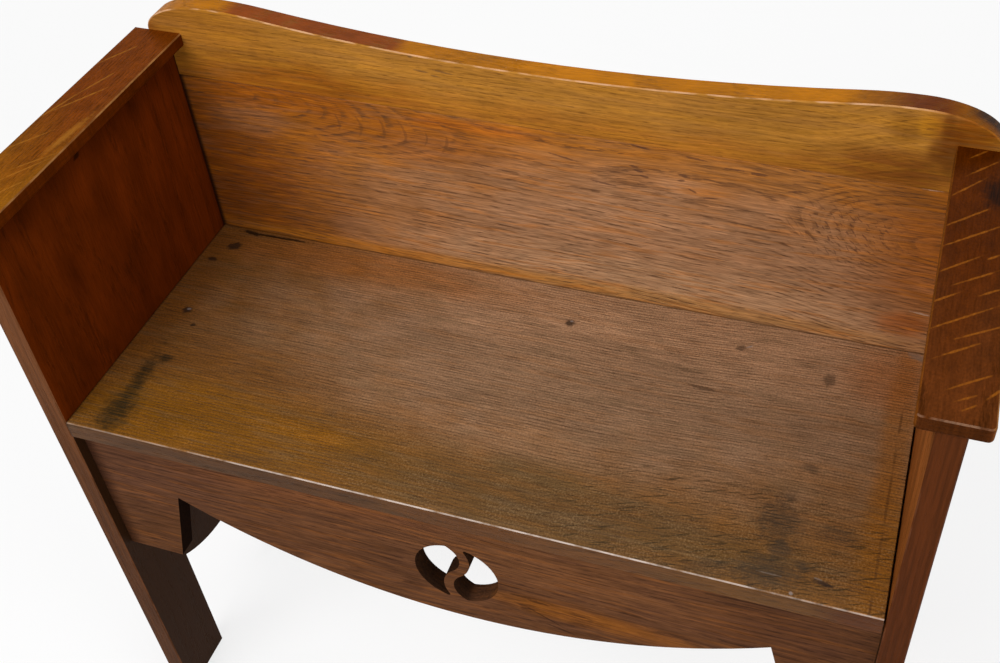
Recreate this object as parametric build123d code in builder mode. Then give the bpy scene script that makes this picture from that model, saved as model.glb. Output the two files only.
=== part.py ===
from build123d import *
import os

# Mission settle: two slab ends with legs cut in them, flat arms, a plank seat over a shaped and
# pierced apron, and a back of two boards with a dipped top edge. Lengths are in millimetres.
# +X is to the right as seen from the front, +Y is to the back and +Z is up. The origin is the
# middle of the footprint, on the floor.

# Driving dimensions of the whole
inner_width = 705
seat_height = 450
seat_depth = 282
arm_rise = 224
shoulder_rise = 252

# Ends
end_thickness = 20
leg_width = 67
leg_height = 164
end_belly_drop = 22

# Arms
arm_thickness = 13
arm_inner_overhang = 14
arm_outer_overhang = 14
arm_front_overhang = 3
arm_lower_radius = 2.5
arm_corner_margin = 1.5

# Seat
seat_thickness = 19
seat_left_gap = 0.3
seat_right_gap = 1.7
seat_nose_radius = 2.5

# Apron
apron_thickness = 18
apron_recess = 10.5
apron_end_gap = 0.2
bracket_drop = 187
bracket_foot_width = 57
notch_inset = 80
notch_drop = 90
apron_belly_drop = 163
roundel_drop = 99
roundel_radius = 38.5
band_width = 9
band_bulge = 9
piercing_corner_radius = 2

# Back
back_thickness = 21
crest_joint_rise = 179
back_skirt = 64
crest_dip = 19
shoulder_inset = 62.5
shoulder_radius = 400

# Bearers and blocks beneath the seat
bearer_thickness = 22
bearer_height = 32
block_side = 22
block_chamfer = 8
corner_block_length = 100
glue_block_length = 60

# Eased arrises: those that a hand meets, and the finer ones beside a joint
arris_ease = 1
joint_ease = 0.4

# Dowels between arm and end, and how far each goes into them
dowel_radius = 4
dowel_rise = 8
dowel_drop = 22

# Loose tongue in the joint between the back boards
tongue_thickness = 6
tongue_height = 22
tongue_stop = 40

# Screws, and how far each goes into the piece that it holds
screw_radius = 2
screw_head_radius = 4.2
screw_slot_width = 1
screw_slot_depth = 1.1
screw_head_angle = 90
back_screw_bite = 24
seat_screw_bite = 12

# Square cut nails, and how far each goes into the piece that it holds
nail_side = 2.6
nail_head_side = 5
nail_head_thickness = 1.2
nail_bite = 12

# Room round a fastener or tongue, and past its end
side_clearance = 0.1
end_clearance = 0.5

# Places along the pieces, as shares of the lengths that they follow
arm_dowel_shares = (0.2, 0.8)
lower_screw_shares = (0.2, 0.78)
side_nail_shares = (0.15, 0.85)
rear_nail_shares = (-0.4, 0, 0.4)
seat_screw_shares = (0.35, 0.65)
glue_block_shares = (-0.26, 0, 0.26)

# Levels and planes that the pieces share
inner_half = inner_width / 2
outer_half = inner_half + end_thickness
end_middle_x = inner_half + end_thickness / 2
arm_top = seat_height + arm_rise
end_top = arm_top - arm_thickness
seat_underside = seat_height - seat_thickness
bearer_bottom = seat_underside - bearer_height
bearer_middle = seat_underside - bearer_height / 2
back_bottom = seat_height - back_skirt
crest_joint = seat_height + crest_joint_rise
shoulder_top = seat_height + shoulder_rise
crest_low = shoulder_top - crest_dip
roundel_level = seat_height - roundel_drop

total_depth = arm_front_overhang + seat_depth + back_thickness
front_y = arm_front_overhang - total_depth / 2
back_y = front_y + seat_depth
back_middle_y = back_y + back_thickness / 2
rear_y = back_y + back_thickness
apron_rear_y = front_y + apron_recess + apron_thickness
rear_bearer_y = back_y - bearer_thickness

side_bearer_x = inner_half - bearer_thickness
side_bearer_length = back_y - apron_rear_y
rear_bearer_length = 2 * side_bearer_x
apron_length = inner_width - 2 * apron_end_gap

back_screw_length = back_thickness + back_screw_bite
seat_screw_length = bearer_height + seat_screw_bite
nail_length = bearer_thickness + nail_bite
tongue_length = 2 * (outer_half - tongue_stop)

hands = {"left": -1, "right": 1}
upward = (0, 0, 1)
downward = (0, 0, -1)
frontward = (0, -1, 0)
rearward = (0, 1, 0)
standing = (Align.CENTER, Align.CENTER, Align.MIN)
sunk = (Align.CENTER, Align.CENTER, Align.MAX)

os.makedirs("parts", exist_ok=True)


# Write a finished piece under its name
def save(piece, name):
    piece.label = name
    export_step(piece, f"parts/{name}.step")


# Points where fasteners go in, each on the surface of a piece


def arm_dowel_points(side):
    return [(side * end_middle_x, front_y + share * seat_depth, end_top) for share in arm_dowel_shares]


def back_screw_points(levels):
    return [(side * end_middle_x, rear_y, level) for side in hands.values() for level in levels]


def side_nail_points(side):
    places = [apron_rear_y + share * side_bearer_length for share in side_nail_shares]
    return [(side * side_bearer_x, y, bearer_middle) for y in places]


def seat_screw_points(side):
    x = side * (inner_half - bearer_thickness / 2)
    return [(x, apron_rear_y + share * side_bearer_length, bearer_bottom) for share in seat_screw_shares]


lower_screw_levels = [back_bottom + share * (crest_joint - back_bottom) for share in lower_screw_shares]
crest_screw_levels = [(crest_joint + end_top) / 2]
rear_nail_points = [(share * rear_bearer_length, rear_bearer_y, bearer_middle) for share in rear_nail_shares]


# Locations on those points that face out of the surface
def facing(direction, points):
    return Locations(*[Plane(point, z_dir=direction) for point in points])


# Countersunk hole for a screw, through the piece that its head lies in
def sink_screws(direction, points, length):
    with facing(direction, points):
        CounterSinkHole(
            radius=screw_radius + side_clearance,
            counter_sink_radius=screw_head_radius + side_clearance,
            depth=length,
            counter_sink_angle=screw_head_angle,
        )


# Blind hole for a screw, in the piece that it holds
def pilot_screws(direction, points, length):
    with facing(direction, points):
        Hole(radius=screw_radius + side_clearance, depth=length + end_clearance)


# Blind hole for a dowel
def bore_dowels(direction, points, depth):
    with facing(direction, points):
        Hole(radius=dowel_radius + side_clearance, depth=depth + end_clearance)


# Nail with a square head and shank, its head flush with the surface
def drive_nails(direction, points):
    with facing(direction, points):
        Box(nail_head_side, nail_head_side, nail_head_thickness, align=sunk)
        Box(nail_side, nail_side, nail_length, align=sunk)


# Square hole for that nail, through one piece and on into the next
def punch_nails(direction, points):
    hole_side = nail_side + 2 * side_clearance
    head_side = nail_head_side + 2 * side_clearance
    with facing(direction, points):
        Box(head_side, head_side, nail_head_thickness + side_clearance, align=sunk, mode=Mode.SUBTRACT)
        Box(hole_side, hole_side, nail_length + end_clearance, align=sunk, mode=Mode.SUBTRACT)


# Groove for half the loose tongue, in the edge of a back board
def plough_groove():
    length = tongue_length + 2 * end_clearance
    width = tongue_thickness + 2 * side_clearance
    depth = tongue_height + 2 * end_clearance
    with Locations((0, back_middle_y, crest_joint)):
        Box(length, width, depth, mode=Mode.SUBTRACT)


# Slab end: grain upright, two legs below and a convex edge between them
def make_end(side):
    front_leg_y = front_y + leg_width
    back_leg_y = back_y - leg_width
    belly_middle = ((front_y + back_y) / 2, leg_height - end_belly_drop)
    with BuildPart() as end:
        with BuildSketch(Plane.YZ.offset(side * inner_half)):
            with BuildLine():
                outline = Polyline(
                    (front_leg_y, leg_height),
                    (front_leg_y, 0),
                    (front_y, 0),
                    (front_y, end_top),
                    (back_y, end_top),
                    (back_y, 0),
                    (back_leg_y, 0),
                    (back_leg_y, leg_height),
                )
                ThreePointArc(outline @ 1, belly_middle, outline @ 0)
            make_face()
        extrude(amount=side * end_thickness)
        upright = end.edges().filter_by(Axis.Z).filter_by_position(Axis.Y, front_y, back_leg_y)
        belly = end.edges().filter_by(GeomType.CIRCLE)
        chamfer(upright + belly, length=arris_ease)
        bore_dowels(upward, arm_dowel_points(side), dowel_drop)
        pilot_screws(rearward, back_screw_points(lower_screw_levels + crest_screw_levels), back_screw_length)
        punch_nails((-side, 0, 0), side_nail_points(side))
    return end.part


# Flat arm on the end's top: it overhangs on both sides and in front, and butts on the back
def make_arm(side):
    inner_x = inner_half - arm_inner_overhang
    outer_x = outer_half + arm_outer_overhang
    arm_front_y = front_y - arm_front_overhang
    middle = (side * (inner_x + outer_x) / 2, (arm_front_y + back_y) / 2, end_top)
    with BuildPart() as arm:
        with BuildSketch(Plane(middle)):
            Rectangle(outer_x - inner_x, back_y - arm_front_y)
        extrude(amount=arm_thickness)
        front_corners = arm.edges().filter_by(Axis.Z).group_by(Axis.Y)[0]
        fillet(front_corners, radius=arm_lower_radius + arm_corner_margin)
        lower_rim = arm.faces().sort_by(Axis.Z)[0].edges().sort_by(Axis.Y)[:-1]
        fillet(lower_rim, radius=arm_lower_radius)
        upper_rim = arm.faces().sort_by(Axis.Z)[-1].edges().sort_by(Axis.Y)[:-1]
        chamfer(upper_rim, length=arris_ease)
        bore_dowels(downward, arm_dowel_points(side), dowel_rise)
    return arm.part


for hand, side in hands.items():
    save(make_end(side), f"end_{hand}")
    save(make_arm(side), f"arm_{hand}")

# Plank seat between the ends, flush with their front edges
seat_middle = ((seat_left_gap - seat_right_gap) / 2, (front_y + back_y) / 2, seat_underside)
with BuildPart() as seat_board:
    with BuildSketch(Plane(seat_middle)):
        Rectangle(inner_width - seat_left_gap - seat_right_gap, seat_depth)
    extrude(amount=seat_thickness)
    upper_rim = seat_board.faces().sort_by(Axis.Z)[-1].edges().sort_by(Axis.Y)
    chamfer(upper_rim[1:], length=joint_ease)
    lower_front, upper_front = seat_board.edges().filter_by(Axis.X).group_by(Axis.Y)[0].sort_by(Axis.Z)
    fillet(upper_front, radius=seat_nose_radius)
    chamfer(lower_front, length=arris_ease)
    for side in hands.values():
        pilot_screws(downward, seat_screw_points(side), seat_screw_length)
save(seat_board.part, "seat_board")

# Apron: a square-footed bracket at each end, a slanted notch beside it, a convex lower edge and,
# in the middle, a round piercing that an S-shaped band crosses
apron_plane = Plane.XZ.offset(-apron_rear_y)
bracket_bottom = seat_height - bracket_drop
roundel_top = (0, roundel_level + roundel_radius)
roundel_middle = (0, roundel_level)
roundel_bottom = (0, roundel_level - roundel_radius)
upper_bulge = (band_bulge, roundel_level + roundel_radius / 2)
lower_bulge = (-band_bulge, roundel_level - roundel_radius / 2)
with BuildPart() as front_apron:
    with BuildSketch(apron_plane):
        with BuildLine():
            half_outline = Polyline(
                (0, seat_underside),
                (apron_length / 2, seat_underside),
                (apron_length / 2, bracket_bottom),
                (inner_half - bracket_foot_width, bracket_bottom),
                (inner_half - notch_inset, seat_height - notch_drop),
            )
            mirror(about=Plane.YZ)
            notch_top = half_outline @ 1
            ThreePointArc(notch_top, (0, seat_height - apron_belly_drop), (-notch_top.X, notch_top.Y))
        make_face()
    extrude(amount=apron_thickness)
    with BuildSketch(apron_plane) as piercing:
        with Locations(roundel_middle):
            Circle(roundel_radius)
        with BuildLine():
            upper = ThreePointArc(roundel_top, upper_bulge, roundel_middle)
            lower = ThreePointArc(roundel_middle, lower_bulge, roundel_bottom)
            Line(upper @ 0, upper @ 0 - band_width * (upper % 0))
            Line(lower @ 1, lower @ 1 + band_width * (lower % 1))
        trace(line_width=band_width, mode=Mode.SUBTRACT)
        band_corners = piercing.vertices().sort_by_distance(roundel_middle)[-4:]
        fillet(band_corners, radius=piercing_corner_radius)
    extrude(amount=apron_thickness, mode=Mode.SUBTRACT)
save(front_apron.part, "front_apron")

# Lower back board, behind the ends and as wide as they are
back_plane = Plane.XZ.offset(-rear_y)
with BuildPart() as back_lower_board:
    with BuildSketch(back_plane):
        with BuildLine():
            Polyline(
                (-outer_half, back_bottom),
                (outer_half, back_bottom),
                (outer_half, crest_joint),
                (-outer_half, crest_joint),
                close=True,
            )
        make_face()
    extrude(amount=back_thickness)
    chamfer(back_lower_board.edges().filter_by(Axis.X).group_by(Axis.Z)[-1], length=joint_ease)
    chamfer(back_lower_board.edges().filter_by(Axis.Z), length=arris_ease)
    plough_groove()
    sink_screws(rearward, back_screw_points(lower_screw_levels), back_screw_length)
    punch_nails(frontward, rear_nail_points)
save(back_lower_board.part, "back_lower_board")

# Crest: a long dip between raised shoulders, whose ends fall in a quarter ellipse to the arms' tops.
# The dip's arc and each shoulder's arc touch on the line between their centres.
shoulder_x = outer_half - shoulder_inset
centre_distance = (shoulder_x**2 + crest_dip**2) / (2 * crest_dip)
touch_share = 1 - shoulder_radius / centre_distance
with BuildPart() as back_crest_board:
    with BuildSketch(back_plane):
        with BuildLine():
            dip = TangentArc(
                (0, crest_low),
                (touch_share * shoulder_x, crest_low + touch_share * crest_dip),
                tangent=(1, 0),
            )
            TangentArc(dip @ 1, (shoulder_x, shoulder_top), tangent=dip % 1)
            EllipticalCenterArc((shoulder_x, arm_top), shoulder_inset, shoulder_top - arm_top, arc_size=90)
            Polyline((outer_half, arm_top), (outer_half, crest_joint), (0, crest_joint))
            mirror(about=Plane.YZ)
        make_face()
    extrude(amount=back_thickness)
    joint_edges = back_crest_board.faces().sort_by(Axis.Z)[0].edges().filter_by(Axis.X)
    chamfer(joint_edges, length=joint_ease)
    front_face, rear_face = back_crest_board.faces().filter_by(Axis.Y).sort_by(Axis.Y)
    top_arrises = (front_face.edges() + rear_face.edges()).filter_by(Axis.X, reverse=True)
    chamfer(top_arrises, length=arris_ease)
    plough_groove()
    sink_screws(rearward, back_screw_points(crest_screw_levels), back_screw_length)
save(back_crest_board.part, "back_crest_board")


# Side bearer: a batten on the end's inner face, from the apron to the back
def make_side_bearer(side):
    section_middle = (side * (inner_half - bearer_thickness / 2), back_y, bearer_middle)
    with BuildPart() as bearer:
        with BuildSketch(Plane(section_middle, x_dir=(1, 0, 0), z_dir=frontward)):
            Rectangle(bearer_thickness, bearer_height)
        extrude(amount=side_bearer_length)
        chamfer(bearer.edges().filter_by(Axis.Y).group_by(Axis.Z)[0], length=arris_ease)
        punch_nails((-side, 0, 0), side_nail_points(side))
        sink_screws(downward, seat_screw_points(side), seat_screw_length)
    return bearer.part


# Corner block: an upright block in the corner between the apron and the end
def make_corner_block(side):
    middle_x = side * (inner_half - block_side / 2)
    middle_y = apron_rear_y + block_side / 2
    with BuildPart() as block:
        with BuildSketch(Plane((middle_x, middle_y, bearer_bottom))):
            Rectangle(block_side, block_side)
        extrude(amount=-corner_block_length)
        rear_edges = block.edges().filter_by(Axis.Z).group_by(Axis.Y)[-1]
        open_edge = rear_edges.sort_by(Axis.X, reverse=side < 0)[0]
        chamfer(open_edge, length=block_chamfer)
    return block.part


for hand, side in hands.items():
    save(make_side_bearer(side), f"seat_bearer_{hand}")
    save(make_corner_block(side), f"corner_block_{hand}")

# Rear bearer: a batten on the lower back board, between the side bearers
with BuildPart() as rear_seat_bearer:
    with BuildSketch(Plane.YZ.offset(-side_bearer_x)):
        with Locations((back_y - bearer_thickness / 2, bearer_middle)):
            Rectangle(bearer_thickness, bearer_height)
    extrude(amount=rear_bearer_length)
    chamfer(rear_seat_bearer.edges().filter_by(Axis.X).group_by(Axis.Z)[0], length=arris_ease)
    punch_nails(frontward, rear_nail_points)
save(rear_seat_bearer.part, "rear_seat_bearer")

# Glue blocks in the angle between the apron and the seat
with BuildPart() as apron_glue_blocks:
    for share in glue_block_shares:
        with BuildSketch(Plane.YZ.offset(share * apron_length)):
            with BuildLine():
                Polyline(
                    (apron_rear_y, seat_underside),
                    (apron_rear_y + block_side, seat_underside),
                    (apron_rear_y + block_side, seat_underside - block_side + block_chamfer),
                    (apron_rear_y + block_side - block_chamfer, seat_underside - block_side),
                    (apron_rear_y, seat_underside - block_side),
                    close=True,
                )
            make_face()
        extrude(amount=glue_block_length / 2, both=True)
save(apron_glue_blocks.part, "apron_glue_blocks")

# Dowels between the arms and the ends' tops
with BuildPart() as arm_dowels:
    with facing(upward, arm_dowel_points(-1) + arm_dowel_points(1)):
        Cylinder(dowel_radius, dowel_rise, align=standing)
        Cylinder(dowel_radius, dowel_drop, align=sunk)
save(arm_dowels.part, "arm_dowels")

# Loose tongue that lines up the two back boards, stopped short of their ends
with BuildPart() as back_joint_tongue:
    with Locations((0, back_middle_y, crest_joint)):
        Box(tongue_length, tongue_thickness, tongue_height)
save(back_joint_tongue.part, "back_joint_tongue")


# Slotted countersunk screw with its head flush with its location, pointing along -Z
def make_screw(length):
    with BuildPart() as screw:
        with BuildSketch(Plane.XZ):
            with BuildLine():
                Polyline(
                    (0, 0),
                    (screw_head_radius, 0),
                    (screw_radius, screw_radius - screw_head_radius),
                    (screw_radius, -length),
                    (0, -length),
                    close=True,
                )
            make_face()
        revolve(axis=Axis.Z)
        with BuildSketch():
            Rectangle(2 * screw_head_radius, screw_slot_width)
        extrude(amount=-screw_slot_depth, mode=Mode.SUBTRACT)
    return screw.part


with BuildPart() as back_screws:
    with facing(rearward, back_screw_points(lower_screw_levels + crest_screw_levels)):
        add(make_screw(back_screw_length))
save(back_screws.part, "back_screws")

with BuildPart() as seat_screws:
    with facing(downward, seat_screw_points(-1) + seat_screw_points(1)):
        add(make_screw(seat_screw_length))
save(seat_screws.part, "seat_screws")

# Cut nails through the bearers into the ends and the back
with BuildPart() as bearer_nails:
    drive_nails(frontward, rear_nail_points)
    for side in hands.values():
        drive_nails((-side, 0, 0), side_nail_points(side))
save(bearer_nails.part, "bearer_nails")
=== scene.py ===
import math

import bpy
from mathutils import Matrix, Vector


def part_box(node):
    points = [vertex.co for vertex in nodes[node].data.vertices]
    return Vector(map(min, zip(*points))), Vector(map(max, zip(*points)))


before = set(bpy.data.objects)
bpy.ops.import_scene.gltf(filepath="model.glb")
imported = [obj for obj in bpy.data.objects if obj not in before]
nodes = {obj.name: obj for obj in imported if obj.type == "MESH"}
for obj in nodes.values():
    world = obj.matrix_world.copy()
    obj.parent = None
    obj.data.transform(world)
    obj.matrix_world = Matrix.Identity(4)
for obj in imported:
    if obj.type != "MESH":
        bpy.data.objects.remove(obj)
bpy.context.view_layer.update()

# Looks of the settle: procedural oak on every board, in the CAD frame. Lengths inside the
# materials are in millimetres of object space, with +X right, +Y back and +Z up. Colours are
# red, green and blue from 0 to 255, and strengths are shares from 0 to 1.


def corners(node):
    """A CAD node's lowest and highest corner, in millimetres."""
    return [[round(value * 1000.0, 1) for value in corner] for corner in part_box(node)]


(seat_left, seat_front, seat_bottom), (_, seat_back, seat_top) = corners("seat_board")
(_, back_front, _), (_, _, joint_height) = corners("back_lower_board")
arm_bottom = corners("arm_left")[0][2]
end_inner = corners("end_left")[1][0]  # place in x of the left end's inner face
roundel_height, roundel_radius = 351.0, 38.5  # the round piercing of the apron


def paint(red, green, blue):
    """A display colour as the linear values that Blender wants."""
    channels = [c / 255 for c in (red, green, blue)]
    linear = [c / 12.92 if c <= 0.04045 else ((c + 0.055) / 1.055) ** 2.4 for c in channels]
    return (*linear, 1.0)


def darker(tone, share):
    return tuple(channel * share for channel in tone)


class Num:
    """A number in a material's tree. Arithmetic on it adds Math nodes."""

    def __init__(self, mat, socket):
        self.mat = mat
        self.socket = socket

    def __add__(self, other):
        return self.mat.math("ADD", self, other)

    __radd__ = __add__

    def __sub__(self, other):
        return self.mat.math("SUBTRACT", self, other)

    def __rsub__(self, other):
        return self.mat.math("SUBTRACT", other, self)

    def __mul__(self, other):
        return self.mat.math("MULTIPLY", self, other)

    def __truediv__(self, other):
        return self.mat.math("DIVIDE", self, other)

    def __pow__(self, other):
        return self.mat.math("POWER", self, other)

    def __abs__(self):
        return self.mat.math("ABSOLUTE", self)

    def most(self, other):
        return self.mat.math("MAXIMUM", self, other)

    def fract(self):
        return self.mat.math("FRACT", self)

    def smooth(self, low, high):
        """0 below low and 1 above high, with a smooth step between; low may be the greater."""
        node = self.mat.node("MapRange", interpolation_type="SMOOTHSTEP")
        self.mat.feed(node.inputs["Value"], self)
        self.mat.feed(node.inputs["From Min"], float(low))
        self.mat.feed(node.inputs["From Max"], float(high))
        return Num(self.mat, node.outputs["Result"])


def distance(first, second):
    """How far a point is from the origin, from its two coordinates."""
    return (first * first + second * second) ** 0.5


class Mat:
    """A node material that is written as arithmetic.

    x, y and z are the place in millimetres, nx, ny and nz the normal's sizes along them, and
    rightward and up the normal's share along +X and +Z.
    """

    def __init__(self, name):
        self.material = bpy.data.materials.new(name)
        self.material.use_nodes = True
        self.tree = self.material.node_tree
        self.tree.nodes.clear()
        place = self.node("TexCoord").outputs["Object"]
        self.x, self.y, self.z = [axis * 1000.0 for axis in self.split(place)]
        turned = self.split(self.node("NewGeometry").outputs["True Normal"])
        self.nx, self.ny, self.nz = [abs(axis) for axis in turned]
        self.rightward, self.up = turned[0], turned[2]
        self.edges = {}

    def node(self, kind, **settings):
        node = self.tree.nodes.new("ShaderNode" + kind)
        for key, value in settings.items():
            setattr(node, key, value)
        return node

    def feed(self, socket, value):
        if isinstance(value, Num):
            value = value.socket
        if isinstance(value, bpy.types.NodeSocket):
            self.tree.links.new(value, socket)
        else:
            socket.default_value = value

    def split(self, vector):
        node = self.node("SeparateXYZ")
        self.feed(node.inputs[0], vector)
        return [Num(self, socket) for socket in node.outputs]

    def math(self, operation, first, second=0.0):
        node = self.node("Math", operation=operation)
        self.feed(node.inputs[0], first)
        self.feed(node.inputs[1], second)
        return Num(self, node.outputs[0])

    def noise(self, x, y, z=0.0, detail=2.0, rough=0.5):
        """Cloudy noise from 0 to 1, around a half, one wave per unit of its coordinates."""
        place = self.node("CombineXYZ")
        for socket, value in zip(place.inputs, (x, y, z)):
            self.feed(socket, value)
        node = self.node("TexNoise")
        self.feed(node.inputs["Vector"], place.outputs[0])
        node.inputs["Scale"].default_value = 1.0
        node.inputs["Detail"].default_value = detail
        node.inputs["Roughness"].default_value = rough
        return Num(self, node.outputs[0])

    def mix(self, factor, first, second):
        """The first colour where factor is 0 and the second where it is 1."""
        node = self.node("Mix", data_type="RGBA", clamp_factor=True)
        factor_socket, first_socket, second_socket, result = 0, 6, 7, 2
        self.feed(node.inputs[factor_socket], factor)
        self.feed(node.inputs[first_socket], first)
        self.feed(node.inputs[second_socket], second)
        return node.outputs[result]

    def coat(self, colour, where, tone, much=1.0):
        """Lays a tone over a colour where a number is 1, as strongly as much says."""
        return self.mix(where * much, colour, paint(*tone))

    def flat(self, tone):
        """One colour all over, to work on."""
        node = self.node("RGB")
        node.outputs[0].default_value = paint(*tone)
        return node.outputs[0]

    def scale(self, colour, amount):
        """A colour made lighter or darker by a number."""
        node = self.node("VectorMath", operation="SCALE")
        self.feed(node.inputs[0], colour)
        self.feed(node.inputs["Scale"], amount)
        return node.outputs[0]

    def turn(self, u, v, degrees):
        """The place along and beside a line at an angle to u."""
        cosine, sine = math.cos(math.radians(degrees)), math.sin(math.radians(degrees))
        return u * cosine + v * sine, v * cosine - u * sine

    def blot(self, u, v, centre, size, turn=0.0, soft=0.5, ragged=0.5, grain=6.0):
        """An oval patch with a ragged edge: 1 inside, 0 outside. turn is in degrees.

        grain is the size of the edge's waves. All blots of one grain share one noise, which lies in
        the coordinates of the first of them.
        """
        if grain not in self.edges:
            self.edges[grain] = self.noise(u / grain, v / grain, detail=2.0) - 0.5
        across, up = u - centre[0], v - centre[1]
        if turn:
            across, up = self.turn(across, up, turn)
        far = distance(across / size[0], up / size[1]) + self.edges[grain] * (ragged * 2.0)
        return far.smooth(1.0 + soft, 1.0 - soft)

    def band(self, value, middle, half, soft):
        """1 where value is within half of middle, falling to 0 over soft."""
        return abs(value - middle).smooth(half + soft, half)

    def patches(self, colour, u, v, rows):
        """Broad soft patches of other colours."""
        for centre, size, tone, much in rows:
            patch = self.blot(u, v, centre, size, soft=0.6, ragged=0.45, grain=45.0)
            colour = self.coat(colour, patch, tone, much)
        return colour

    def cover(self, u, v, places, soft, ragged, grain):
        """1 inside any of the places."""
        total = None
        for middle_u, middle_v, length, width, turn in places:
            spot = self.blot(u, v, (middle_u, middle_v), (length, width), turn, soft, ragged, grain)
            total = spot if total is None else total.most(spot)
        return total

    def marks(self, colour, u, v, tone, much, places):
        """Small crisp marks of one colour."""
        where = self.cover(u, v, places, soft=0.4, ragged=0.6, grain=3.5)
        return self.coat(colour, where, tone, much)

    def dashes(self, u, v, turn, length, width, seed):
        """Scattered dashes that lie at an angle in degrees."""
        along, beside = self.turn(u, v, turn)
        return self.noise(along / length, beside / width, seed, detail=1.0).smooth(0.59, 0.66)

    def shader(self, colour, roughness, height, depth, **constants):
        """Principled shader. depth is the bump's height in millimetres."""
        shader = self.node("BsdfPrincipled")
        self.feed(shader.inputs["Base Color"], colour)
        self.feed(shader.inputs["Roughness"], roughness)
        for key, value in constants.items():
            shader.inputs[key.replace("_", " ")].default_value = value
        bump = self.node("Bump")
        bump.inputs["Distance"].default_value = depth / 1000.0
        self.feed(bump.inputs["Height"], height)
        self.feed(shader.inputs["Normal"], bump.outputs[0])
        return shader.outputs[0]

    def finish(self, surface):
        self.feed(self.node("OutputMaterial").inputs["Surface"], surface)
        return self.material


class Oak(Mat):
    """Oak cut from a log: growth rings round a pith line, pores that follow them, and fibres.

    axes names the board's own axes along the grain, across it and through the board. pith(l) gives
    the pith's place across and through the board, as a function of the place along the grain, so a
    pith that comes nearer to the face draws pointed arches on it. ring is the rings' spacing, wave
    how far they wander, and pore the width and length of the pores.
    """

    def __init__(self, name, axes, pith, ring, wave, seed, pore=(1.3, 9.0)):
        super().__init__(name)
        l, w, t = [getattr(self, axis) for axis in axes]
        self.l, self.w, self.t = l + seed, w + seed, t + seed
        drift = self.cloud(long=190.0, wide=70.0, detail=0.0) - 0.5
        ripple = self.cloud(long=42.0, wide=15.0) - 0.5
        self.sway = drift * (wave * 2.0) + ripple * (wave * 0.35)
        middle, depth = pith(l)
        self.far = distance(w + self.sway - middle, t + self.sway * 0.4 - depth)
        self.line = self.ring_lines(ring)
        self.open_pores(*pore)
        self.streak = self.noise(self.far / 2.8, self.l / 100.0, self.t / 40.0, detail=3.0, rough=0.65)
        self.broad = self.cloud(long=150.0, wide=30.0)

    def cloud(self, long, wide, detail=1.0):
        """Noise with waves of one length along the grain and another across it."""
        return self.noise(self.l / long, self.w / wide, self.t / wide, detail)

    def ring_lines(self, ring):
        """1 on the open early wood of each ring."""
        uneven = self.noise(self.far / (ring * 6.0), self.l / 400.0, 0.3, detail=0.0) * 2.5
        phase = (self.far / ring + uneven).fract()
        return phase.smooth(0.0, 0.08) * phase.smooth(0.52, 0.18)

    def open_pores(self, width, length):
        """Sets vein, pore and fibre, from 0 to 1: dark dashes along the rings, pores and fibres."""
        side, deep = (self.w + self.sway) / width, self.t / width
        broken = self.noise(side / 1.6, self.l / (length * 2.0), deep, detail=1.0)
        self.vein = self.line * broken.smooth(0.42, 0.54)
        holes = self.noise(side, self.l / length, deep + 7.0, detail=1.0)
        self.pore = holes.smooth(0.53, 0.62) * (self.line * 0.6 + 0.4)
        self.fibre = self.noise(side, self.l / 26.0, deep, detail=2.0, rough=0.6)

    def tinge(self, colour, thick, warm, warmth, cool, coolness):
        """Long streaks of a warmer and a cooler colour, thick millimetres across."""
        side = (self.w + self.sway) / thick
        tint = self.noise(self.l / 70.0, side, self.t / thick, detail=2.0, rough=0.6)
        colour = self.coat(colour, tint.smooth(0.50, 0.68), warm, warmth)
        return self.coat(colour, tint.smooth(0.50, 0.32), cool, coolness)

    def grain(self, colour, streaks, fibres, vein, veins, pore, pores):
        """Shades a colour along the grain, then adds veins and pores in their own colours."""
        shade = (self.streak - 0.5) * -streaks + (self.fibre - 0.5) * -fibres + (self.broad - 0.5) * 0.35
        colour = self.scale(colour, (shade + 1.0).most(0.2))
        dense = self.cloud(long=45.0, wide=10.0).smooth(0.32, 0.62)
        colour = self.coat(colour, self.vein * dense, vein, veins)
        return self.coat(colour, self.pore * (dense * 0.5 + 0.5), pore, pores)

    def stains(self, colour, u, v, tone, much, places):
        """Soft stains that sink deeper into the open fibres."""
        soak = self.cover(u, v, places, soft=0.7, ragged=0.8, grain=6.0) * (self.fibre * 1.2 + 0.2)
        return self.coat(colour, soak, tone, much)

    def wax(self, colour, base, gloss, tint=(1.0, 1.0, 1.0, 1.0)):
        """Waxed surface: open pores and raised fibres, glossier on the dense wood."""
        rough = self.fibre * 0.14 + self.pore * 0.16 + self.broad * 0.1 + (base - 0.14)
        height = self.fibre * 0.4 - self.pore - self.vein * 0.6
        surface = self.shader(
            colour, rough, height, depth=0.12, Specular_IOR_Level=gloss, Specular_Tint=tint)
        return self.finish(surface)


AMBER = (1.0, 0.55, 0.25, 1.0)  # tint that old shellac gives to the gloss
SEAM = (62, 34, 14)  # colour of the joint between the back boards


def pith_at(middle, depth):
    """A pith that runs straight along the board."""
    return lambda l: (middle, depth)


def seam_strength(x):
    """The joint between the back boards shows most at its left end."""
    return x.smooth(-150.0, -330.0) * 0.5 + 0.08


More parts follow.
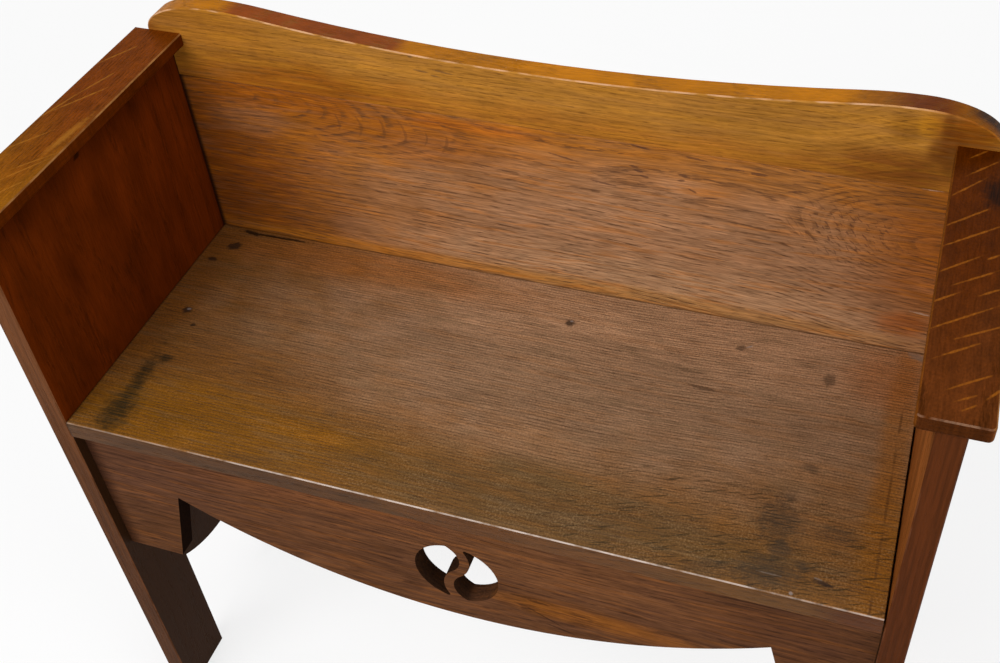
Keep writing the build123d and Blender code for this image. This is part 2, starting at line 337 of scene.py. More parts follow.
# Patches below are rows of centre, half size, colour and strength. Marks and stains are rows of
# centre, half length, half width and turn in degrees. Both lie in the two axes of their face.
BACK_PATCHES = (
    # The first two rows are a painted sheen: a paler base colour across the lower middle of the back.
    ((110.0, 510.0), (290.0, 90.0), (178, 133, 98), 0.85),
    ((140.0, 468.0), (260.0, 34.0), (190, 148, 110), 0.75),
    ((-370.0, 530.0), (140.0, 110.0), (122, 60, 12), 0.8),
    ((356.0, 560.0), (66.0, 80.0), (150, 82, 22), 0.7),
    ((20.0, 634.0), (400.0, 24.0), (168, 104, 36), 0.85),
    ((-240.0, 626.0), (100.0, 22.0), (142, 74, 14), 0.75),
    ((200.0, 618.0), (70.0, 18.0), (172, 112, 56), 0.7),
    ((-290.0, 616.0), (50.0, 20.0), (156, 84, 18), 0.6),
    ((322.0, 628.0), (34.0, 24.0), (140, 84, 32), 0.7),
    ((-120.0, 598.0), (80.0, 24.0), (152, 80, 12), 0.5),
    ((-160.0, 456.0), (190.0, 7.0), (190, 118, 30), 0.6),
    ((110.0, 458.0), (200.0, 9.0), (184, 126, 46), 0.5),
    ((-60.0, 620.0), (60.0, 7.0), (178, 90, 18), 0.5),
    ((328.0, 482.0), (20.0, 12.0), (166, 82, 10), 0.6),
    ((-286.0, 590.0), (40.0, 16.0), (150, 104, 70), 0.5),
)
BACK_CHECKS = (
    (89.0, 627.0, 8.0, 1.0, -8.0), (136.0, 624.0, 9.0, 1.0, -4.0), (84.0, 606.0, 4.0, 1.1, -10.0),
    (88.0, 602.0, 4.5, 1.2, -10.0), (93.0, 597.0, 4.0, 1.1, -10.0), (128.0, 604.0, 4.0, 1.3, -8.0),
    (125.0, 599.0, 3.0, 1.3, 6.0), (135.0, 590.0, 4.0, 1.0, -24.0), (170.0, 619.0, 8.0, 0.9, 0.0),
    (191.0, 618.0, 7.0, 1.4, 0.0), (221.0, 606.0, 5.0, 1.1, 8.0), (56.0, 583.0, 12.0, 1.0, -6.0),
    (150.0, 585.0, 8.0, 1.0, 8.0), (20.0, 604.0, 12.0, 0.9, -10.0), (-200.0, 598.0, 8.0, 1.0, 10.0),
)
BACK_ARCHES = (
    (-174.0, 602.0, 1.6, 12.0, 0.0), (-150.0, 603.0, 1.5, 11.0, 0.0), (-129.0, 602.0, 1.6, 12.0, 0.0),
    (-88.0, 596.0, 1.8, 9.0, 0.0), (-108.0, 600.0, 1.0, 8.0, 0.0), (-196.0, 604.0, 1.2, 9.0, 0.0),
)
BACK_SCRATCHES = ((330.0, 629.5, 9.0, 0.9, 2.0), (339.5, 497.4, 8.0, 0.9, -6.0))


def back_pith(l):
    """Nearest the face at both ends, so its arches point to the middle."""
    left, right = l.smooth(-350.0, -60.0), l.smooth(350.0, 200.0)
    return 598.0 - l * 0.065, 120.0 - left * right * 43.0


def make_back():
    """The lower back board."""
    m = Oak("oak_back_lower", "xzy", back_pith, ring=4.0, wave=6.5, seed=40.0, pore=(1.2, 12.0))
    x, z = m.x, m.z
    colour = m.patches(m.flat((162, 98, 34)), x, z, BACK_PATCHES)
    colour = m.tinge(
        colour, thick=4.5, warm=(184, 106, 20), warmth=0.4, cool=(142, 96, 62), coolness=0.35)
    colour = m.grain(
        colour, streaks=0.7, fibres=1.5, vein=(92, 58, 34), veins=0.5, pore=(84, 56, 38), pores=0.65)
    swirl = m.blot(x, z, centre=(264.0, 572.0), size=(44.0, 32.0), soft=0.7)
    hooks = m.dashes(x, z, turn=-48.0, length=7.0, width=2.4, seed=9.0)
    colour = m.coat(colour, swirl * hooks, (78, 46, 40), 0.55)
    colour = m.marks(colour, x, z, (76, 48, 40), 0.65, BACK_CHECKS)
    above = z - 601.0
    bent = x + above * above * 0.03 + m.sway * 1.5
    colour = m.marks(colour, bent, z, (104, 62, 34), 0.45, BACK_ARCHES)
    colour = m.marks(colour, x, z, (196, 160, 134), 0.75, BACK_SCRATCHES)
    seam = z.smooth(joint_height - 1.4, joint_height - 0.2)
    colour = m.coat(colour, seam, SEAM, seam_strength(x))
    # Painted shade in the corner where the back meets the left end's inner face.
    front = m.y.smooth(back_front + 6.0, back_front + 2.0)
    corner = x.smooth(end_inner + 5.0, end_inner + 0.5)
    colour = m.coat(colour, corner * front, (26, 12, 6), 0.9)
    # Painted shade along the foot of the back, where it meets the seat.
    foot = m.band(z, middle=seat_top, half=0.4, soft=1.8)
    colour = m.coat(colour, foot * front, (58, 30, 14), 0.55)
    return m.wax(colour, base=0.46, gloss=0.09)


CREST_PATCHES = (
    ((-350.0, 665.0), (120.0, 60.0), (156, 98, 32), 0.7),
    ((20.0, 626.0), (400.0, 22.0), (168, 104, 36), 0.8),
    ((-240.0, 632.0), (110.0, 26.0), (146, 80, 16), 0.75),
    ((280.0, 630.0), (70.0, 28.0), (142, 84, 30), 0.7),
    # The last row is painted shade at the crest's left end, beside the left arm.
    ((-374.0, 668.0), (12.0, 18.0), (122, 62, 24), 0.6),
)
SHOULDER_PATCHES = (
    ((300.0, 682.0), (12.0, 14.0), (118, 72, 18), 0.6),
    ((316.0, 688.0), (8.0, 9.0), (190, 126, 22), 0.6),
    ((300.0, 646.0), (44.0, 16.0), (124, 70, 24), 0.8),
    ((350.0, 688.0), (28.0, 20.0), (124, 64, 10), 0.9),
    ((330.0, 690.0), (4.0, 14.0), (92, 42, 10), 0.6),
    # The last two rows are painted shade in the corner beside the right arm.
    ((326.0, 666.0), (8.0, 10.0), (92, 42, 10), 0.7),
    ((336.0, 668.0), (8.0, 20.0), (100, 50, 12), 0.7),
)
CREST_CHECKS = (
    (-104.0, 671.0, 7.0, 0.9, -4.0), (-84.0, 673.0, 9.0, 0.8, -6.0), (-113.0, 684.0, 3.0, 1.2, 0.0),
    (-92.0, 668.0, 5.0, 0.8, -6.0),
)


def crest_pith(l):
    """Far below the board, so its lines run straight, and a little higher at the right shoulder."""
    return -120.0 + l.smooth(225.0, 330.0) * 26.0, 60.0


def crest_top(m):
    """Colour of the top edge: amber, red to the left of the dip and dark on the right shoulder."""
    x = m.x
    red = x.smooth(-300.0, -280.0) * x.smooth(-118.0, -134.0)
    colour = m.mix(red, paint(166, 100, 0), paint(120, 54, 4))
    colour = m.coat(colour, x.smooth(240.0, 292.0), (104, 54, 4), 0.8)
    colour = m.coat(colour, m.band(x, middle=313.0, half=8.0, soft=22.0), (94, 42, 8))
    rear = m.y.smooth(back_front + 2.0, back_front + 14.0)
    return m.coat(colour, x.smooth(338.0, 356.0) * rear, (50, 34, 26))


def make_crest():
    """The upper back board."""
    m = Oak("oak_back_crest", "xzy", crest_pith, ring=4.2, wave=3.0, seed=11.0)
    x, z = m.x, m.z
    colour = m.patches(m.flat((174, 118, 46)), x, z, CREST_PATCHES)
    shoulder = m.patches(colour, x, z, SHOULDER_PATCHES)
    colour = m.mix(m.y.smooth(back_front + 14.0, back_front + 6.0), colour, shoulder)
    colour = m.tinge(
        colour, thick=7.0, warm=(186, 124, 34), warmth=0.3, cool=(140, 96, 52), coolness=0.3)
    colour = m.mix(m.nz.smooth(0.45, 0.6) * m.ny.smooth(0.5, 0.3), colour, crest_top(m))
    colour = m.grain(
        colour, streaks=0.9, fibres=0.9, vein=(118, 74, 26), veins=0.5, pore=(104, 66, 28), pores=0.44)
    colour = m.marks(colour, x, z, (98, 70, 48), 0.6, CREST_CHECKS)
    # The front top arris: partly pale worn wood, partly a painted highlight.
    arris = m.ny.smooth(0.5, 0.65) * m.ny.smooth(0.92, 0.82) * z.smooth(640.0, 650.0)
    wear_and_highlight = m.noise(x / 24.0, z / 8.0, detail=3.0).smooth(0.36, 0.62)
    worn_highlight_or_shade = m.mix(x.smooth(300.0, 340.0), paint(216, 168, 128), paint(176, 104, 44))
    colour = m.mix(arris * wear_and_highlight * (x.smooth(340.0, 300.0) * 0.55 + 0.25), colour, worn_highlight_or_shade)
    seam = z.smooth(joint_height + 1.4, joint_height + 0.2)
    colour = m.coat(colour, seam, SEAM, seam_strength(x))
    return m.wax(colour, base=0.44, gloss=0.03, tint=AMBER)


SEAT_PATCHES = (
    # The first two rows are a painted sheen: a paler base colour over the middle and back of the seat.
    ((80.0, 30.0), (300.0, 100.0), (155, 121, 93), 0.85),
    ((140.0, 112.0), (300.0, 50.0), (180, 138, 104), 0.85),
    ((-240.0, -52.0), (80.0, 34.0), (106, 66, 26), 0.6),
    ((236.0, -124.0), (30.0, 14.0), (120, 78, 20), 0.6),
    ((-200.0, -118.0), (200.0, 44.0), (116, 72, 0), 0.85),
    ((-140.0, -104.0), (60.0, 10.0), (142, 88, 0), 0.6),
    ((100.0, -124.0), (200.0, 36.0), (92, 66, 32), 0.8),
    ((340.0, -90.0), (16.0, 70.0), (140, 86, 12), 0.7),
    ((338.0, 40.0), (12.0, 110.0), (150, 90, 24), 0.6),
    ((324.0, 96.0), (34.0, 34.0), (156, 86, 26), 0.5),
    ((-190.0, 108.0), (150.0, 22.0), (146, 86, 30), 0.7),
    ((-345.0, 20.0), (26.0, 110.0), (112, 66, 20), 0.7),
    ((66.0, -92.0), (44.0, 14.0), (92, 70, 36), 0.5),
)
SEAT_EDGE_PATCHES = (
    ((-200.0, 440.0), (160.0, 18.0), (72, 44, 20), 0.7),
    ((20.0, 440.0), (50.0, 12.0), (92, 52, 18), 0.6),
    ((140.0, 440.0), (80.0, 18.0), (108, 66, 30), 0.5),
    ((240.0, 440.0), (60.0, 14.0), (104, 68, 28), 0.5),
    ((338.0, 440.0), (26.0, 16.0), (84, 42, 14), 0.8),
)
# Stains and marks of the seat, each group with its colour and strength: the front left stain, the
# front right one and faint ones, then dark spots, the crack at the back, dents, glints and dust
SEAT_STAINS = (
    ((22, 26, 18), 0.9, (
        (-317.0, -96.0, 7.0, 40.0, 4.0), (-316.0, -124.0, 14.0, 24.0, 0.0),
        (-309.0, -56.0, 7.0, 5.0, 0.0))),
    ((48, 42, 34), 0.72, (
        (262.0, -84.0, 17.0, 17.0, 0.0), (266.0, -108.0, 8.0, 12.0, 0.0), (260.0, -132.0, 22.0, 14.0, 8.0),
        (286.0, -121.0, 7.0, 4.0, 0.0))),
    ((56, 44, 34), 0.5, (
        (306.0, -84.0, 14.0, 8.0, 0.0), (276.0, -23.0, 6.0, 5.0, 0.0), (264.0, -58.0, 7.0, 6.0, 0.0),
        (-132.0, -75.0, 7.0, 3.0, 0.0), (-180.0, -142.0, 24.0, 4.0, 0.0), (218.0, -140.0, 16.0, 6.0, 8.0))),
)
SEAT_MARKS = (
    ((36, 26, 22), 0.8, (
        (-323.0, 7.0, 4.6, 4.2, 0.0), (-307.0, -10.0, 2.6, 2.2, 0.0), (-325.0, 103.6, 7.0, 5.0, 35.0),
        (35.0, 87.0, 4.2, 4.0, 0.0), (303.0, -131.0, 8.0, 2.0, -10.0), (-337.0, 80.0, 5.0, 2.6, 0.0))),
    ((24, 14, 8), 0.9, (
        (-290.0, 127.0, 38.0, 1.4, 1.0), (-316.0, 126.5, 10.0, 2.6, -8.0))),
    ((66, 48, 36), 0.6, (
        (193.0, 97.0, 4.6, 3.2, 30.0), (171.0, 40.0, 14.0, 1.8, -4.0), (275.0, 79.0, 5.0, 8.0, 0.0))),
    ((150, 138, 132), 0.6, (
        (-321.6, 8.6, 2.0, 1.4, 0.0), (35.8, 89.6, 1.6, 1.2, 0.0), (200.0, 100.5, 3.0, 0.9, 30.0),
        (281.7, -146.0, 1.6, 1.4, 0.0))),
    ((124, 110, 98), 0.5, (
        (263.0, -133.4, 8.0, 0.7, 0.0), (299.0, -128.0, 3.0, 0.8, -10.0), (345.0, 127.5, 9.0, 4.0, -20.0))),
)


def seat_pith(l):
    """Far in front of the board, so its lines run straight, with a slight bend at the right."""
    return -520.0 + l.smooth(60.0, 300.0) * 14.0, 300.0


def seat_surface(m):
    """Colour of the seat's top: pale behind, where a sheen is painted in, dusty and cut across in front."""
    x, y = m.x, m.y
    colour = m.patches(m.flat((124, 80, 34)), x, y, SEAT_PATCHES)
    colour = m.tinge(
        colour, thick=6.0, warm=(146, 92, 34), warmth=0.2, cool=(112, 90, 62), coolness=0.25)
    ringed = m.noise(x / 90.0, y / 30.0, 2.0, detail=1.0).smooth(0.35, 0.6)
    colour = m.coat(colour, m.line * (ringed * 0.3 + 0.1), (86, 60, 38))
    colour = m.grain(
        colour, streaks=0.45, fibres=1.3, vein=(80, 54, 34), veins=0.35, pore=(72, 50, 34), pores=0.45)
    grit = m.noise(x / 1.6, y / 1.9, detail=1.0)
    colour = m.scale(colour, grit + 0.5)
    front = (y + (m.broad - 0.5) * 80.0).smooth(-40.0, -90.0)
    cuts = m.dashes(x, y, turn=20.0, length=22.0, width=1.9, seed=4.0) * x.smooth(30.0, 120.0)
    colour = m.coat(colour, cuts * front, (50, 36, 14), 0.7)
    dust = m.noise(x / 46.0, y / 24.0, 8.0).smooth(0.40, 0.60) * (x.smooth(-240.0, 0.0) * 0.6 + 0.4)
    colour = m.coat(colour, grit.smooth(0.45, 0.85) * dust * front, (158, 132, 96), 0.3)
    for tone, much, places in SEAT_STAINS:
        colour = m.stains(colour, x, y, tone, much, places)
    for tone, much, places in SEAT_MARKS:
        colour = m.marks(colour, x, y, tone, much, places)
    # Painted shade: a broken dark line on the seat beneath the right arm's inner edge, fading out towards
    # the back.
    arm_overhang_shade = m.noise(y / 34.0, 2.5, detail=1.0).smooth(0.40, 0.55) * y.smooth(90.0, 60.0)
    line = m.band(x, middle=339.6, half=0.4, soft=1.2)
    return m.coat(colour, line * arm_overhang_shade, (70, 42, 20), 0.5)


def seat_edge(m):
    """Colour of the seat's grimy front edge."""
    x, z = m.x, m.z
    grime = m.noise(x / 50.0, z / 9.0, 6.0, detail=3.0)
    colour = m.mix(grime.smooth(0.44, 0.70), paint(94, 58, 26), paint(76, 52, 28))
    colour = m.patches(colour, x, z, SEAT_EDGE_PATCHES)
    return m.grain(
        colour, streaks=0.8, fibres=1.0, vein=(56, 34, 20), veins=0.4, pore=(46, 28, 18), pores=0.3)


def make_seat():
    """The seat, with a pale front arris that is partly wear and partly a painted highlight."""
    m = Oak("oak_seat", "xyz", seat_pith, ring=2.9, wave=3.0, seed=70.0, pore=(1.1, 8.0))
    x, y = m.x, m.y
    surface = seat_surface(m)
    colour = m.mix(m.ny.smooth(0.75, 0.9) * y.smooth(-100.0, -120.0), surface, seat_edge(m))
    # The pale front arris is partly wear and partly a painted highlight.
    off = distance(y - seat_front, m.z - seat_top)
    ends = (x.smooth(-330.0, -60.0) * 0.75 + 0.25) * (x.smooth(330.0, 150.0) * 0.35 + 0.65)
    wear_and_highlight = m.noise(x / 20.0, 0.5, detail=4.0).smooth(0.30, 0.60) * ends
    colour = m.coat(colour, off.smooth(1.5, 1.06) * wear_and_highlight, (206, 188, 176), 0.95)
    # Painted shade along the seat's back edge, against the back board, and along its left edge, against the
    # left end.
    colour = m.coat(colour, y.smooth(seat_back - 1.0, seat_back - 0.1), (50, 26, 14), 0.6)
    colour = m.coat(colour, x.smooth(seat_left + 2.0, seat_left + 0.4), (40, 24, 12), 0.6)
    return m.wax(colour, base=0.46, gloss=0.08)


APRON_PATCHES = (
    ((-310.0, 400.0), (120.0, 60.0), (88, 58, 42), 0.7),
    ((120.0, 332.0), (80.0, 12.0), (140, 82, 28), 0.7),
    ((120.0, 390.0), (110.0, 30.0), (112, 72, 44), 0.7),
    ((-140.0, 414.0), (120.0, 18.0), (126, 76, 44), 0.4),
    ((300.0, 372.0), (80.0, 50.0), (88, 54, 34), 0.6),
)
APRON_CHECKS = (
    (79.5, 318.0, 20.0, 0.9, -29.0), (93.0, 305.5, 15.0, 1.0, -15.0), (73.0, 338.5, 9.0, 1.5, -4.0),
    (60.0, 341.0, 12.0, 0.9, -2.0),
)


def apron_pith(l):
    """In front of the board, and nearest its face at the left end."""
    return 322.0 + l * 0.03, -153.5 - l.smooth(-350.0, 330.0) * 36.0


def make_apron():
    """The apron, with painted shade inside its left notch, on the roundel's wall and at its left end."""
    m = Oak("oak_apron", "xzy", apron_pith, ring=4.4, wave=5.0, seed=5.0)
    x, z = m.x, m.z
    colour = m.patches(m.flat((96, 62, 40)), x, z, APRON_PATCHES)
    colour = m.tinge(
        colour, thick=4.5, warm=(122, 72, 34), warmth=0.45, cool=(70, 44, 34), coolness=0.4)
    colour = m.grain(
        colour, streaks=1.0, fibres=1.2, vein=(56, 34, 24), veins=0.55, pore=(50, 32, 26), pores=0.4)
    colour = m.marks(colour, x, z, (42, 26, 20), 0.6, APRON_CHECKS)
    # Painted shade on the notch's side face.
    notch = m.nx.smooth(0.6, 0.8) * x.smooth(-200.0, -240.0)
    colour = m.coat(colour, notch, (16, 10, 8), 0.95)
    # Painted shade on the roundel's wall, lighter where the wall is lit.
    above = z - roundel_height
    near = distance(above, x).smooth(roundel_radius + 2.5, roundel_radius + 1.0)
    lit = x.smooth(2.0, 16.0) * above.smooth(-5.0, -17.0) * 0.55
    colour = m.coat(colour, near * m.ny.smooth(0.6, 0.4) * (0.8 - lit), (30, 20, 14))
    # Painted shade at the apron's left end, in the recess beside the left end.
    colour = m.coat(colour, x.smooth(-336.0, -350.0), (46, 22, 14), 0.5)
    return m.wax(colour, base=0.48, gloss=0.0)


def end_front(m, tone):
    """Colour of an end's front edge, darker towards the foot."""
    streaked = m.mix(m.streak.smooth(0.40, 0.66), paint(*tone), paint(*darker(tone, 0.84)))
    return m.scale(streaked, m.z.smooth(200.0, 560.0) * 0.45 + m.fibre * 0.5 + 0.3)


def make_end(name, inward, inner, edge, seed, knots=()):
    """inner is the colour of the faces and edge that of the front edge. inward is 1 where the inner
    face looks to +X and -1 where it looks to -X."""
    m = Oak(name, "zyx", pith_at(-20.0, 60.0), ring=4.6, wave=8.0, seed=seed)
    y, z = m.y, m.z
    cloud = m.noise(m.l / 80.0, m.w / 26.0, 1.0, detail=2.0)
    colour = m.scale(m.flat(inner), (cloud - 0.5) * 0.9 + 1.0)
    dark = darker(inner, 0.5)
    colour = m.grain(colour, streaks=0.8, fibres=0.7, vein=dark, veins=0.3, pore=dark, pores=0.3)
    if knots:
        colour = m.marks(colour, y, z, darker(inner, 0.35), 0.8, knots)
    inside = (m.rightward * inward).smooth(0.7, 0.9)
    # Painted shade under the arm's overhang on the inner face, which is also made lighter towards the back.
    shade_under_arm = z.smooth(arm_bottom - 45.0, arm_bottom - 9.0) * 0.4
    colour = m.scale(colour, 0.96 - (shade_under_arm - y.smooth(0.0, 110.0) * 0.22) * inside)
    # Painted shade: the inner face below the seat gets a dark shaded colour.
    under_seat = z.smooth(seat_bottom + 5.0, seat_bottom - 3.0) * 0.95
    worn_highlight_or_shade = m.scale(m.flat((44, 27, 14)), m.fibre * 0.8 + 0.6)
    colour = m.mix(under_seat * inside, colour, worn_highlight_or_shade)
    colour = m.mix(m.ny.smooth(0.4, 0.6) * 0.95, colour, end_front(m, edge))
    # The front arris: partly worn, partly a painted highlight.
    arris = m.ny.smooth(0.4, 0.55) * m.ny.smooth(0.9, 0.8)
    wear_and_highlight = m.noise(z / 30.0, y / 8.0, detail=3.0).smooth(0.44, 0.64)
    colour = m.coat(colour, arris * wear_and_highlight, (140, 90, 62), 0.25)
    # Painted shade in the corner where the inner face meets the back board.
    corner = y.smooth(back_front - 3.0, back_front - 0.5)
    colour = m.coat(colour, corner * inside, (20, 9, 6), 0.85)
    return m.wax(colour, base=0.46, gloss=0.02, tint=AMBER)


# Bright rays on the arms' tops, each from one x and y to another, and with a half width of its
# own where it is broader than the rest
RAY_HALF_WIDTH = 0.8
LEFT_RAYS = (
    (-385.0, -18.0, -373.0, 25.0), (-373.0, 25.0, -361.0, 60.0), (-379.0, -3.0, -354.0, 38.0),
    (-383.0, -58.0, -365.0, -32.0), (-350.0, -56.0, -345.0, -8.0, 3.0), (-364.0, -98.0, -344.0, -66.0),
    (-354.0, -111.0, -345.0, -95.0), (-361.0, -80.0, -344.0, -59.0), (-386.0, -128.0, -362.0, -104.0),
    (-384.0, 70.0, -366.0, 102.0),
)
RIGHT_RAYS = (
    (349.0, 118.0, 361.0, 131.0), (349.0, 96.0, 369.0, 118.0), (341.0, 70.0, 359.0, 92.0),
    (340.0, 34.0, 366.0, 59.0), (340.0, 11.0, 376.0, 42.0), (341.0, -16.0, 364.0, 5.0),
    (371.0, 5.0, 378.0, 11.0), (353.0, -26.0, 378.0, -6.0), (338.0, -49.0, 353.0, -36.0),
    (367.0, -35.0, 380.0, -25.0), (339.0, -75.0, 376.0, -45.0), (356.0, -80.0, 382.0, -62.0),
    (347.0, -99.0, 369.0, -82.0), (358.0, -124.0, 378.0, -109.0), (361.0, -135.0, 370.0, -129.0),
    (378.0, -129.0, 386.0, -118.0), (365.0, -142.0, 372.0, -136.0),
)
ARM_STAINS = ((371.0, 80.0, 8.0, 17.0, 0.0),)  # one, on the right arm


def ray_places(rays):
    """The rays as rows of centre, half length, half width and turn in degrees."""
    places = []
    for start_x, start_y, end_x, end_y, *broad in rays:
        long_x, long_y = end_x - start_x, end_y - start_y
        centre = ((start_x + end_x) / 2, (start_y + end_y) / 2)
        half_width = broad[0] if broad else RAY_HALF_WIDTH
        turn = math.degrees(math.atan2(long_y, long_x))
        places.append((*centre, math.hypot(long_x, long_y) / 2, half_width, turn))
    return places


def make_arm(name, fore, rear, side, fleck, seed, rays):
    """fore and rear are the top's colours, side the long sides' and fleck the bright rays'."""
    m = Oak(name, "yxz", pith_at(360.0, 900.0), ring=3.4, wave=4.0, seed=seed)
    x, y = m.x, m.y
    colour = m.mix((y + (m.broad - 0.5) * 120.0).smooth(-150.0, 40.0), paint(*fore), paint(*rear))
    colour = m.coat(colour, m.nx.smooth(0.45, 0.7), side)
    colour = m.scale(colour, 1.0 - m.ny.smooth(0.7, 0.9) * 0.35)
    cloud = m.noise(x / 9.0, y / 16.0, 3.0, detail=3.0)
    grit = m.noise(x / 1.6, y / 2.2, 5.0, detail=1.0)
    colour = m.scale(colour, ((cloud - 0.5) * 0.9 + 1.0) * ((grit - 0.5) * 0.7 + 1.0))
    dark = darker(rear, 0.55)
    colour = m.grain(colour, streaks=0.4, fibres=0.7, vein=dark, veins=0.3, pore=dark, pores=0.4)
    bent_x, bent_y = x + m.sway * 0.5, y + m.sway * 0.5
    bright = m.cover(bent_x, bent_y, ray_places(rays), soft=0.6, ragged=0.9, grain=5.0)
    colour = m.coat(colour, bright * m.nz.smooth(0.8, 0.95) * (m.fibre + 0.1), fleck)
    # The top arrises: partly worn, partly painted highlights.
    upward = m.up.smooth(0.3, 0.5)
    wear_and_highlight = m.noise(x / 12.0, y / 24.0, detail=3.0).smooth(0.36, 0.66)
    short_arris = m.ny.smooth(0.35, 0.5) * m.ny.smooth(0.95, 0.85) * upward
    colour = m.coat(colour, short_arris * wear_and_highlight, (150, 116, 92), 0.6)
    long_arris = m.rightward.smooth(0.35, 0.5) * m.rightward.smooth(0.95, 0.85) * upward
    colour = m.coat(colour, long_arris * (wear_and_highlight * 0.5 + 0.3), (168, 116, 64))
    colour = m.stains(colour, x, y, (20, 10, 6), 0.95, ARM_STAINS)
    return m.wax(colour, base=0.5, gloss=0.02, tint=AMBER)


def make_plain(name, tone, axes, seed):
    """Unfinished wood of the hidden pieces."""
    m = Oak(name, axes, pith_at(30.0, 20.0), ring=3.4, wave=5.0, seed=seed)
    dark = darker(tone, 0.6)
    colour = m.grain(m.flat(tone), streaks=0.8, fibres=0.8, vein=dark, veins=0.5, pore=dark, pores=0.5)
    return m.wax(colour, base=0.7, gloss=0.25)


def make_metal(name, tone, rust):
    m = Mat(name)
    cloud = m.noise(m.x / 3.0, m.y / 3.0, m.z / 3.0, detail=4.0)
    grit = m.noise(m.x / 0.5, m.y / 0.5, m.z / 0.5, detail=2.0)
    colour = m.mix(cloud.smooth(0.45, 0.62), paint(*tone), paint(*rust))
    return m.finish(m.shader(colour, 0.42 + cloud * 0.3, grit, depth=0.1, Metallic=0.75))


def use(material, *names):
    """Gives CAD nodes a material through their own slots."""
    for name in names:
        for slot in nodes[name].material_slots:
            slot.material = material


use(make_back(), "back_lower_board")
use(make_crest(), "back_crest_board")
use(make_seat(), "seat_board")
use(make_apron(), "front_apron")

left_knots = ((-25.0, 648.0, 4.5, 2.6, 20.0),)
left_end = make_end(
    "oak_end_left", inward=1.0, inner=(94, 37, 4), edge=(108, 66, 38), seed=20.0, knots=left_knots)
right_end = make_end("oak_end_right", inward=-1.0, inner=(134, 76, 32), edge=(84, 41, 17), seed=90.0)
use(left_end, "end_left")
use(right_end, "end_right")

left_arm = make_arm(
    "oak_arm_left", fore=(128, 78, 10), rear=(102, 47, 4), side=(83, 34, 2), fleck=(152, 96, 28),
    seed=3.0, rays=LEFT_RAYS)
right_arm = make_arm(
    "oak_arm_right", fore=(86, 42, 12), rear=(74, 30, 0), side=(104, 56, 14), fleck=(148, 84, 20),
    seed=8.0, rays=RIGHT_RAYS)
use(left_arm, "arm_left")
use(right_arm, "arm_right")

unfinished_oak = (150, 110, 66)
for name, tone, axes, seed, pieces in (
        ("oak_side_bearers", unfinished_oak, "yzx", 2.0, ("seat_bearer_left", "seat_bearer_right")),
        ("oak_rear_bearer", unfinished_oak, "xzy", 7.0, ("rear_seat_bearer", "apron_glue_blocks")),
        ("oak_corner_blocks", unfinished_oak, "zyx", 12.0, ("corner_block_left", "corner_block_right")),
        ("dowel_beech", (190, 150, 104), "zyx", 15.0, ("arm_dowels",)),
        ("tongue_oak", (170, 130, 84), "xzy", 19.0, ("back_joint_tongue",))):
    use(make_plain(name, tone, axes, seed), *pieces)
use(make_metal("screw_steel", tone=(120, 114, 106), rust=(92, 58, 34)), "back_screws", "seat_screws")
use(make_metal("nail_iron", tone=(72, 66, 62), rust=(78, 46, 30)), "bearer_nails")


# Stage: pale floor, white backdrop, soft lamps and the photograph's camera
def seen_ray(tree):
    """1 for rays that show the background: camera rays, reflections and rays through glass."""
    path = tree.nodes.new("ShaderNodeLightPath")
    total = path.outputs["Is Camera Ray"]
    for name in ("Is Glossy Ray", "Is Transmission Ray"):
        node = tree.nodes.new("ShaderNodeMath")
        node.operation, node.use_clamp = "ADD", True
        tree.links.new(total, node.inputs[0])
        tree.links.new(path.outputs[name], node.inputs[1])
        total = node.outputs[0]
    return total


def make_floor(half_side, whiteness, fade_start, fade_end):
    """A pale floor. whiteness is the share of plain white near the settle, and all is white further
    out. half_side is in metres, and the fade in millimetres from the middle."""
    m = Mat("floor_paper")
    cloud = m.noise(m.x / 400.0, m.y / 400.0, detail=3.0)
    colour = m.mix(cloud, paint(240, 240, 240), paint(246, 246, 246))
    paper = m.shader(colour, 0.9, m.noise(m.x / 2.0, m.y / 2.0), depth=0.02)
    glow = m.node("Emission")
    glow.inputs["Strength"].default_value = 1.0
    blend = m.node("MixShader")
    away = distance(m.x, m.y).smooth(fade_start, fade_end)
    m.feed(blend.inputs[0], Num(m, seen_ray(m.tree)) * (away * (1.0 - whiteness) + whiteness))
    m.feed(blend.inputs[1], paper)
    m.feed(blend.inputs[2], glow.outputs[0])
    m.finish(blend.outputs[0])
    mesh = bpy.data.meshes.new("floor")
    outline = [(x * half_side, y * half_side, 0) for x, y in ((-1, -1), (1, -1), (1, 1), (-1, 1))]
    mesh.from_pydata(outline, [], [(0, 1, 2, 3)])
    floor = bpy.data.objects.new("floor", mesh)
    mesh.materials.append(m.material)
    bpy.context.scene.collection.objects.link(floor)


def make_world(strength):
    """Even white light of a strength on the object, and a white backdrop."""
    world = bpy.data.worlds.new("studio")
    bpy.context.scene.world = world
    world.use_nodes = True
    tree = world.node_tree
    tree.nodes.clear()
    chooser = tree.nodes.new("ShaderNodeMixShader")
    tree.links.new(seen_ray(tree), chooser.inputs[0])
    for socket, level in ((1, strength), (2, 1.0)):
        light = tree.nodes.new("ShaderNodeBackground")
        light.inputs["Color"].default_value = (1.0, 1.0, 1.0, 1.0)
        light.inputs["Strength"].default_value = level
        tree.links.new(light.outputs[0], chooser.inputs[socket])
    output = tree.nodes.new("ShaderNodeOutputWorld")
    tree.links.new(chooser.outputs[0], output.inputs["Surface"])


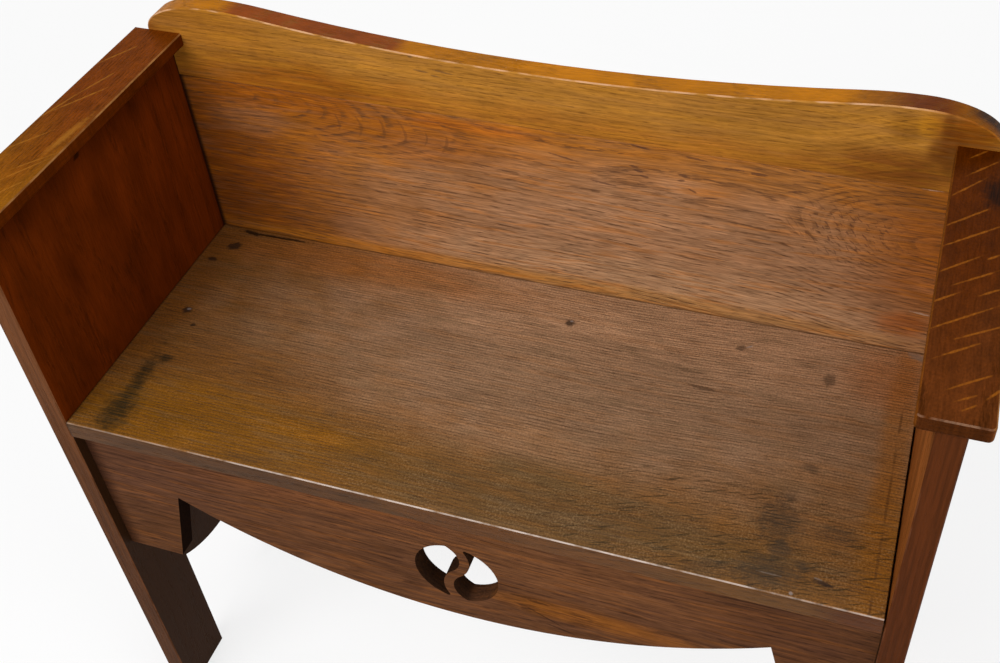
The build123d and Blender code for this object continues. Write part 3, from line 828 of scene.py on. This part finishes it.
def lamp(name, place, aim, size, power):
    """A soft rectangular lamp, in metres and watts."""
    data = bpy.data.lights.new(name, "AREA")
    data.shape = "RECTANGLE"
    data.size, data.size_y = size
    data.energy = power
    lamp_object = bpy.data.objects.new(name, data)
    lamp_object.location = place
    lamp_object.rotation_euler = (Vector(aim) - Vector(place)).to_track_quat("-Z", "Y").to_euler()
    bpy.context.scene.collection.objects.link(lamp_object)


def make_camera():
    """The camera fitted to the settle's corners in the photograph."""
    focal_pixels, centre_x, centre_y = 1227.6, 559.77, 321.48
    picture_width, picture_height = 1000.0, 663.0
    place = Vector((0.3087, -0.6837, 1.2378))
    yaw, pitch, roll = [math.radians(degrees) for degrees in (-20.2158, 43.8288, -3.3165)]
    forward = Vector(
        (math.sin(yaw) * math.cos(pitch), math.cos(yaw) * math.cos(pitch), -math.sin(pitch)))
    level = Vector((math.cos(yaw), -math.sin(yaw), 0.0))
    upright = level.cross(forward)
    right = math.cos(roll) * level + math.sin(roll) * upright
    top = -math.sin(roll) * level + math.cos(roll) * upright
    data = bpy.data.cameras.new("camera")
    data.sensor_fit = "HORIZONTAL"
    data.sensor_width = 36.0
    data.lens = focal_pixels * data.sensor_width / picture_width
    data.shift_x = 0.5 - centre_x / picture_width
    data.shift_y = (centre_y - picture_height / 2) / picture_width
    camera = bpy.data.objects.new("camera", data)
    turned = Matrix((right, top, -forward)).transposed().to_4x4()
    camera.matrix_world = Matrix.Translation(place) @ turned
    bpy.context.scene.collection.objects.link(camera)
    bpy.context.scene.camera = camera


make_floor(half_side=6.0, whiteness=0.72, fade_start=900.0, fade_end=3200.0)
make_world(strength=0.42)
lamp("key", place=(-0.9, -1.8, 2.4), aim=(0.0, 0.0, 0.5), size=(1.8, 1.4), power=50.0)
lamp("sheen", place=(-0.35, 1.7, 2.2), aim=(0.0, 0.0, 0.5), size=(1.6, 1.0), power=20.0)
lamp("right_fill", place=(2.2, -0.9, 1.6), aim=(0.0, 0.0, 0.4), size=(1.4, 1.4), power=18.0)
make_camera()
bpy.context.scene.view_settings.view_transform = "Standard"
